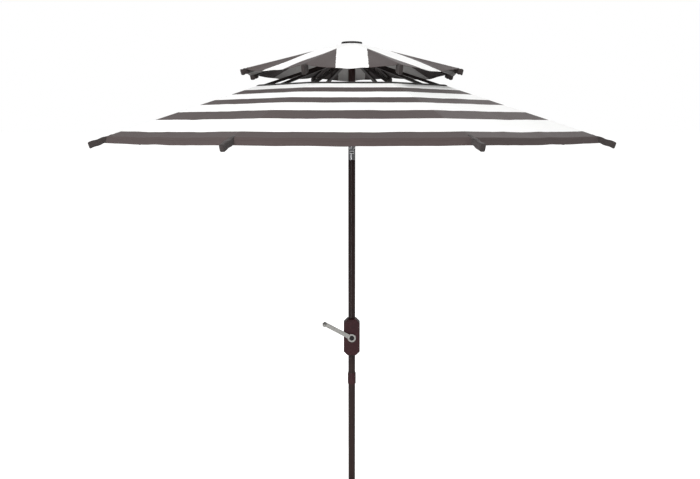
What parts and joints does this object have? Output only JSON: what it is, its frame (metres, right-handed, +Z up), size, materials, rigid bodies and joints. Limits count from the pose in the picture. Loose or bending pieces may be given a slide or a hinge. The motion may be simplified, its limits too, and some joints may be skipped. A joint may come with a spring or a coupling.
{
  "type": "double-top crank patio umbrella",
  "caption": "Open octagonal patio umbrella with striped cloth, a smaller vented upper canopy, a tilt joint, and a two-piece pole with a crank.",
  "frame": {"origin": "centre of the pole's foot, where the pole stands in its base", "axes": "+Z up along the pole, -Y towards the side the crank is on, +X to the right as seen from that side"},
  "size_m": [2.5454, 2.5454, 2.4883],
  "materials": {
    "pole_paint": "satin brown powder coat",
    "housing_plastic": "moulded reddish-brown plastic",
    "black_plastic": "moulded black plastic",
    "rib_steel": "dark brown powder coat",
    "bright_steel": "polished plated steel",
    "reel_steel": "zinc-plated steel",
    "chrome": "chrome plate",
    "grey_plastic": "moulded grey nylon",
    "cord": "braided polyester cord",
    "canopy_cloth": "woven polyester, brown and white stripes"
  },
  "bodies": {
    "mast": {"foot_plug": "black_plastic", "lower_pole": "pole_paint", "pole_joiner": "rib_steel", "pole_collar": "housing_plastic", "middle_pole": "pole_paint", "crank_housing_front": "housing_plastic", "crank_housing_rear": "housing_plastic", "tilt_socket": "chrome", "tilt_pin": "bright_steel", "lift_cord_lower": "cord"},
    "snap_button": {"snap_button": "bright_steel"},
    "tilt_button": {"tilt_button": "grey_plastic"},
    "crank": {"reel_spindle": "reel_steel", "cord_winding": "cord", "crank_arm": "bright_steel", "crank_cap": "black_plastic"},
    "crank_knob": {"crank_knob": "bright_steel"},
    "top": {"tilt_knuckle": "chrome", "top_pole": "pole_paint", "main_hub": "black_plastic", "vent_hub": "black_plastic", "finial_cap": "black_plastic", "lift_cord_upper": "cord", "lift_cord_fall": "cord", "main_canopy": "canopy_cloth", "upper_canopy": "canopy_cloth"},
    "pulley": {"pulley": "grey_plastic"},
    "runner": {"runner": "black_plastic"},
    "main_rib_1": {"main_rib_1": "rib_steel"},
    "strut_1": {"strut_1": "rib_steel"},
    "vent_rib_1": {"vent_rib_1": "rib_steel"},
    "vent_link_1": {"vent_link_1": "rib_steel"},
    "main_rib_2": {"main_rib_2": "rib_steel"},
    "strut_2": {"strut_2": "rib_steel"},
    "vent_rib_2": {"vent_rib_2": "rib_steel"},
    "vent_link_2": {"vent_link_2": "rib_steel"},
    "main_rib_3": {"main_rib_3": "rib_steel"},
    "strut_3": {"strut_3": "rib_steel"},
    "vent_rib_3": {"vent_rib_3": "rib_steel"},
    "vent_link_3": {"vent_link_3": "rib_steel"},
    "main_rib_4": {"main_rib_4": "rib_steel"},
    "strut_4": {"strut_4": "rib_steel"},
    "vent_rib_4": {"vent_rib_4": "rib_steel"},
    "vent_link_4": {"vent_link_4": "rib_steel"},
    "main_rib_5": {"main_rib_5": "rib_steel"},
    "strut_5": {"strut_5": "rib_steel"},
    "vent_rib_5": {"vent_rib_5": "rib_steel"},
    "vent_link_5": {"vent_link_5": "rib_steel"},
    "main_rib_6": {"main_rib_6": "rib_steel"},
    "strut_6": {"strut_6": "rib_steel"},
    "vent_rib_6": {"vent_rib_6": "rib_steel"},
    "vent_link_6": {"vent_link_6": "rib_steel"},
    "main_rib_7": {"main_rib_7": "rib_steel"},
    "strut_7": {"strut_7": "rib_steel"},
    "vent_rib_7": {"vent_rib_7": "rib_steel"},
    "vent_link_7": {"vent_link_7": "rib_steel"},
    "main_rib_8": {"main_rib_8": "rib_steel"},
    "strut_8": {"strut_8": "rib_steel"},
    "vent_rib_8": {"vent_rib_8": "rib_steel"},
    "vent_link_8": {"vent_link_8": "rib_steel"}
  },
  "joints": [
    {"name": "canopy_tilt", "type": "hinge", "parent": "mast", "child": "top", "pos_m": [0, 0, 1.91257], "axis": [1, 0, 0], "range_deg": [-30, 0]},
    {"name": "runner_slide", "type": "slide", "parent": "top", "child": "runner", "axis": [0, 0, -1], "range_m": [0, 0.84526], "deforming": ["lift_cord_fall", "main_canopy", "upper_canopy"]},
    {"name": "snap_press", "type": "slide", "parent": "mast", "child": "snap_button", "axis": [0, -1, 0], "range_m": [0, 0.004], "stiffness_N_per_m": 900},
    {"name": "tilt_press", "type": "slide", "parent": "mast", "child": "tilt_button", "axis": [-0.7071, 0.7071, 0], "range_m": [0, 0.0015], "stiffness_N_per_m": 1200},
    {"name": "crank_turn", "type": "hinge", "parent": "mast", "child": "crank", "pos_m": [0, 0, 0.895], "axis": [0, -1, 0], "range_deg": [-3509.89, 0]},
    {"name": "knob_spin", "type": "hinge", "parent": "crank", "child": "crank_knob", "pos_m": [-0.14833, -0.075, 0.97387], "axis": [0, -1, 0], "continuous": true},
    {"name": "pulley_spin", "type": "hinge", "parent": "top", "child": "pulley", "pos_m": [0, 0.014, 2.418], "axis": [1, 0, 0], "range_deg": [-6457.78, 0]},
    {"name": "main_rib_fold_1", "type": "hinge", "parent": "top", "child": "main_rib_1", "pos_m": [0.03511, 0.01454, 2.384], "axis": [-0.3827, 0.9239, 0], "range_deg": [0, 68.06]},
    {"name": "strut_fold_1", "type": "hinge", "parent": "main_rib_1", "child": "strut_1", "pos_m": [0.57847, 0.23961, 2.18778], "axis": [-0.3827, 0.9239, 0], "range_deg": [-136.11, 0]},
    {"name": "vent_rib_fold_1", "type": "hinge", "parent": "top", "child": "vent_rib_1", "pos_m": [0.0425, 0.0176, 2.4635], "axis": [-0.3827, 0.9239, 0], "range_deg": [0, 65.11]},
    {"name": "vent_link_fold_1", "type": "hinge", "parent": "main_rib_1", "child": "vent_link_1", "pos_m": [0.24983, 0.10348, 2.32227], "axis": [-0.3827, 0.9239, 0], "range_deg": [-56.83, 0]},
    {"name": "main_rib_fold_2", "type": "hinge", "parent": "top", "child": "main_rib_2", "pos_m": [0.01454, 0.03511, 2.384], "axis": [-0.9239, 0.3827, 0], "range_deg": [0, 68.06]},
    {"name": "strut_fold_2", "type": "hinge", "parent": "main_rib_2", "child": "strut_2", "pos_m": [0.23961, 0.57847, 2.18778], "axis": [-0.9239, 0.3827, 0], "range_deg": [-136.11, 0]},
    {"name": "vent_rib_fold_2", "type": "hinge", "parent": "top", "child": "vent_rib_2", "pos_m": [0.0176, 0.0425, 2.4635], "axis": [-0.9239, 0.3827, 0], "range_deg": [0, 65.11]},
    {"name": "vent_link_fold_2", "type": "hinge", "parent": "main_rib_2", "child": "vent_link_2", "pos_m": [0.10348, 0.24983, 2.32227], "axis": [-0.9239, 0.3827, 0], "range_deg": [-56.83, 0]},
    {"name": "main_rib_fold_3", "type": "hinge", "parent": "top", "child": "main_rib_3", "pos_m": [-0.01454, 0.03511, 2.384], "axis": [-0.9239, -0.3827, 0], "range_deg": [0, 68.06]},
    {"name": "strut_fold_3", "type": "hinge", "parent": "main_rib_3", "child": "strut_3", "pos_m": [-0.23961, 0.57847, 2.18778], "axis": [-0.9239, -0.3827, 0], "range_deg": [-136.11, 0]},
    {"name": "vent_rib_fold_3", "type": "hinge", "parent": "top", "child": "vent_rib_3", "pos_m": [-0.0176, 0.0425, 2.4635], "axis": [-0.9239, -0.3827, 0], "range_deg": [0, 65.11]},
    {"name": "vent_link_fold_3", "type": "hinge", "parent": "main_rib_3", "child": "vent_link_3", "pos_m": [-0.10348, 0.24983, 2.32227], "axis": [-0.9239, -0.3827, 0], "range_deg": [-56.83, 0]},
    {"name": "main_rib_fold_4", "type": "hinge", "parent": "top", "child": "main_rib_4", "pos_m": [-0.03511, 0.01454, 2.384], "axis": [-0.3827, -0.9239, 0], "range_deg": [0, 68.06]},
    {"name": "strut_fold_4", "type": "hinge", "parent": "main_rib_4", "child": "strut_4", "pos_m": [-0.57847, 0.23961, 2.18778], "axis": [-0.3827, -0.9239, 0], "range_deg": [-136.11, 0]},
    {"name": "vent_rib_fold_4", "type": "hinge", "parent": "top", "child": "vent_rib_4", "pos_m": [-0.0425, 0.0176, 2.4635], "axis": [-0.3827, -0.9239, 0], "range_deg": [0, 65.11]},
    {"name": "vent_link_fold_4", "type": "hinge", "parent": "main_rib_4", "child": "vent_link_4", "pos_m": [-0.24983, 0.10348, 2.32227], "axis": [-0.3827, -0.9239, 0], "range_deg": [-56.83, 0]},
    {"name": "main_rib_fold_5", "type": "hinge", "parent": "top", "child": "main_rib_5", "pos_m": [-0.03511, -0.01454, 2.384], "axis": [0.3827, -0.9239, 0], "range_deg": [0, 68.06]},
    {"name": "strut_fold_5", "type": "hinge", "parent": "main_rib_5", "child": "strut_5", "pos_m": [-0.57847, -0.23961, 2.18778], "axis": [0.3827, -0.9239, 0], "range_deg": [-136.11, 0]},
    {"name": "vent_rib_fold_5", "type": "hinge", "parent": "top", "child": "vent_rib_5", "pos_m": [-0.0425, -0.0176, 2.4635], "axis": [0.3827, -0.9239, 0], "range_deg": [0, 65.11]},
    {"name": "vent_link_fold_5", "type": "hinge", "parent": "main_rib_5", "child": "vent_link_5", "pos_m": [-0.24983, -0.10348, 2.32227], "axis": [0.3827, -0.9239, 0], "range_deg": [-56.83, 0]},
    {"name": "main_rib_fold_6", "type": "hinge", "parent": "top", "child": "main_rib_6", "pos_m": [-0.01454, -0.03511, 2.384], "axis": [0.9239, -0.3827, 0], "range_deg": [0, 68.06]},
    {"name": "strut_fold_6", "type": "hinge", "parent": "main_rib_6", "child": "strut_6", "pos_m": [-0.23961, -0.57847, 2.18778], "axis": [0.9239, -0.3827, 0], "range_deg": [-136.11, 0]},
    {"name": "vent_rib_fold_6", "type": "hinge", "parent": "top", "child": "vent_rib_6", "pos_m": [-0.0176, -0.0425, 2.4635], "axis": [0.9239, -0.3827, 0], "range_deg": [0, 65.11]},
    {"name": "vent_link_fold_6", "type": "hinge", "parent": "main_rib_6", "child": "vent_link_6", "pos_m": [-0.10348, -0.24983, 2.32227], "axis": [0.9239, -0.3827, 0], "range_deg": [-56.83, 0]},
    {"name": "main_rib_fold_7", "type": "hinge", "parent": "top", "child": "main_rib_7", "pos_m": [0.01454, -0.03511, 2.384], "axis": [0.9239, 0.3827, 0], "range_deg": [0, 68.06]},
    {"name": "strut_fold_7", "type": "hinge", "parent": "main_rib_7", "child": "strut_7", "pos_m": [0.23961, -0.57847, 2.18778], "axis": [0.9239, 0.3827, 0], "range_deg": [-136.11, 0]},
    {"name": "vent_rib_fold_7", "type": "hinge", "parent": "top", "child": "vent_rib_7", "pos_m": [0.0176, -0.0425, 2.4635], "axis": [0.9239, 0.3827, 0], "range_deg": [0, 65.11]},
    {"name": "vent_link_fold_7", "type": "hinge", "parent": "main_rib_7", "child": "vent_link_7", "pos_m": [0.10348, -0.24983, 2.32227], "axis": [0.9239, 0.3827, 0], "range_deg": [-56.83, 0]},
    {"name": "main_rib_fold_8", "type": "hinge", "parent": "top", "child": "main_rib_8", "pos_m": [0.03511, -0.01454, 2.384], "axis": [0.3827, 0.9239, 0], "range_deg": [0, 68.06]},
    {"name": "strut_fold_8", "type": "hinge", "parent": "main_rib_8", "child": "strut_8", "pos_m": [0.57847, -0.23961, 2.18778], "axis": [0.3827, 0.9239, 0], "range_deg": [-136.11, 0]},
    {"name": "vent_rib_fold_8", "type": "hinge", "parent": "top", "child": "vent_rib_8", "pos_m": [0.0425, -0.0176, 2.4635], "axis": [0.3827, 0.9239, 0], "range_deg": [0, 65.11]},
    {"name": "vent_link_fold_8", "type": "hinge", "parent": "main_rib_8", "child": "vent_link_8", "pos_m": [0.24983, -0.10348, 2.32227], "axis": [0.3827, 0.9239, 0], "range_deg": [-56.83, 0]}
  ],
  "couplings": [
    {"joint": "crank_turn", "follows": "runner_slide", "rad_per_m": -72.464},
    {"joint": "pulley_spin", "follows": "runner_slide", "rad_per_m": -133.33},
    {"joint": "main_rib_fold_1", "follows": "runner_slide", "rad_per_m": 1.4051},
    {"joint": "strut_fold_1", "follows": "runner_slide", "rad_per_m": -2.8103},
    {"joint": "vent_rib_fold_1", "follows": "runner_slide", "rad_per_m": 1.3442},
    {"joint": "vent_link_fold_1", "follows": "runner_slide", "rad_per_m": -1.1732},
    {"joint": "main_rib_fold_2", "follows": "runner_slide", "rad_per_m": 1.4051},
    {"joint": "strut_fold_2", "follows": "runner_slide", "rad_per_m": -2.8103},
    {"joint": "vent_rib_fold_2", "follows": "runner_slide", "rad_per_m": 1.3442},
    {"joint": "vent_link_fold_2", "follows": "runner_slide", "rad_per_m": -1.1732},
    {"joint": "main_rib_fold_3", "follows": "runner_slide", "rad_per_m": 1.4051},
    {"joint": "strut_fold_3", "follows": "runner_slide", "rad_per_m": -2.8103},
    {"joint": "vent_rib_fold_3", "follows": "runner_slide", "rad_per_m": 1.3442},
    {"joint": "vent_link_fold_3", "follows": "runner_slide", "rad_per_m": -1.1732},
    {"joint": "main_rib_fold_4", "follows": "runner_slide", "rad_per_m": 1.4051},
    {"joint": "strut_fold_4", "follows": "runner_slide", "rad_per_m": -2.8103},
    {"joint": "vent_rib_fold_4", "follows": "runner_slide", "rad_per_m": 1.3442},
    {"joint": "vent_link_fold_4", "follows": "runner_slide", "rad_per_m": -1.1732},
    {"joint": "main_rib_fold_5", "follows": "runner_slide", "rad_per_m": 1.4051},
    {"joint": "strut_fold_5", "follows": "runner_slide", "rad_per_m": -2.8103},
    {"joint": "vent_rib_fold_5", "follows": "runner_slide", "rad_per_m": 1.3442},
    {"joint": "vent_link_fold_5", "follows": "runner_slide", "rad_per_m": -1.1732},
    {"joint": "main_rib_fold_6", "follows": "runner_slide", "rad_per_m": 1.4051},
    {"joint": "strut_fold_6", "follows": "runner_slide", "rad_per_m": -2.8103},
    {"joint": "vent_rib_fold_6", "follows": "runner_slide", "rad_per_m": 1.3442},
    {"joint": "vent_link_fold_6", "follows": "runner_slide", "rad_per_m": -1.1732},
    {"joint": "main_rib_fold_7", "follows": "runner_slide", "rad_per_m": 1.4051},
    {"joint": "strut_fold_7", "follows": "runner_slide", "rad_per_m": -2.8103},
    {"joint": "vent_rib_fold_7", "follows": "runner_slide", "rad_per_m": 1.3442},
    {"joint": "vent_link_fold_7", "follows": "runner_slide", "rad_per_m": -1.1732},
    {"joint": "main_rib_fold_8", "follows": "runner_slide", "rad_per_m": 1.4051},
    {"joint": "strut_fold_8", "follows": "runner_slide", "rad_per_m": -2.8103},
    {"joint": "vent_rib_fold_8", "follows": "runner_slide", "rad_per_m": 1.3442},
    {"joint": "vent_link_fold_8", "follows": "runner_slide", "rad_per_m": -1.1732}
  ]
}
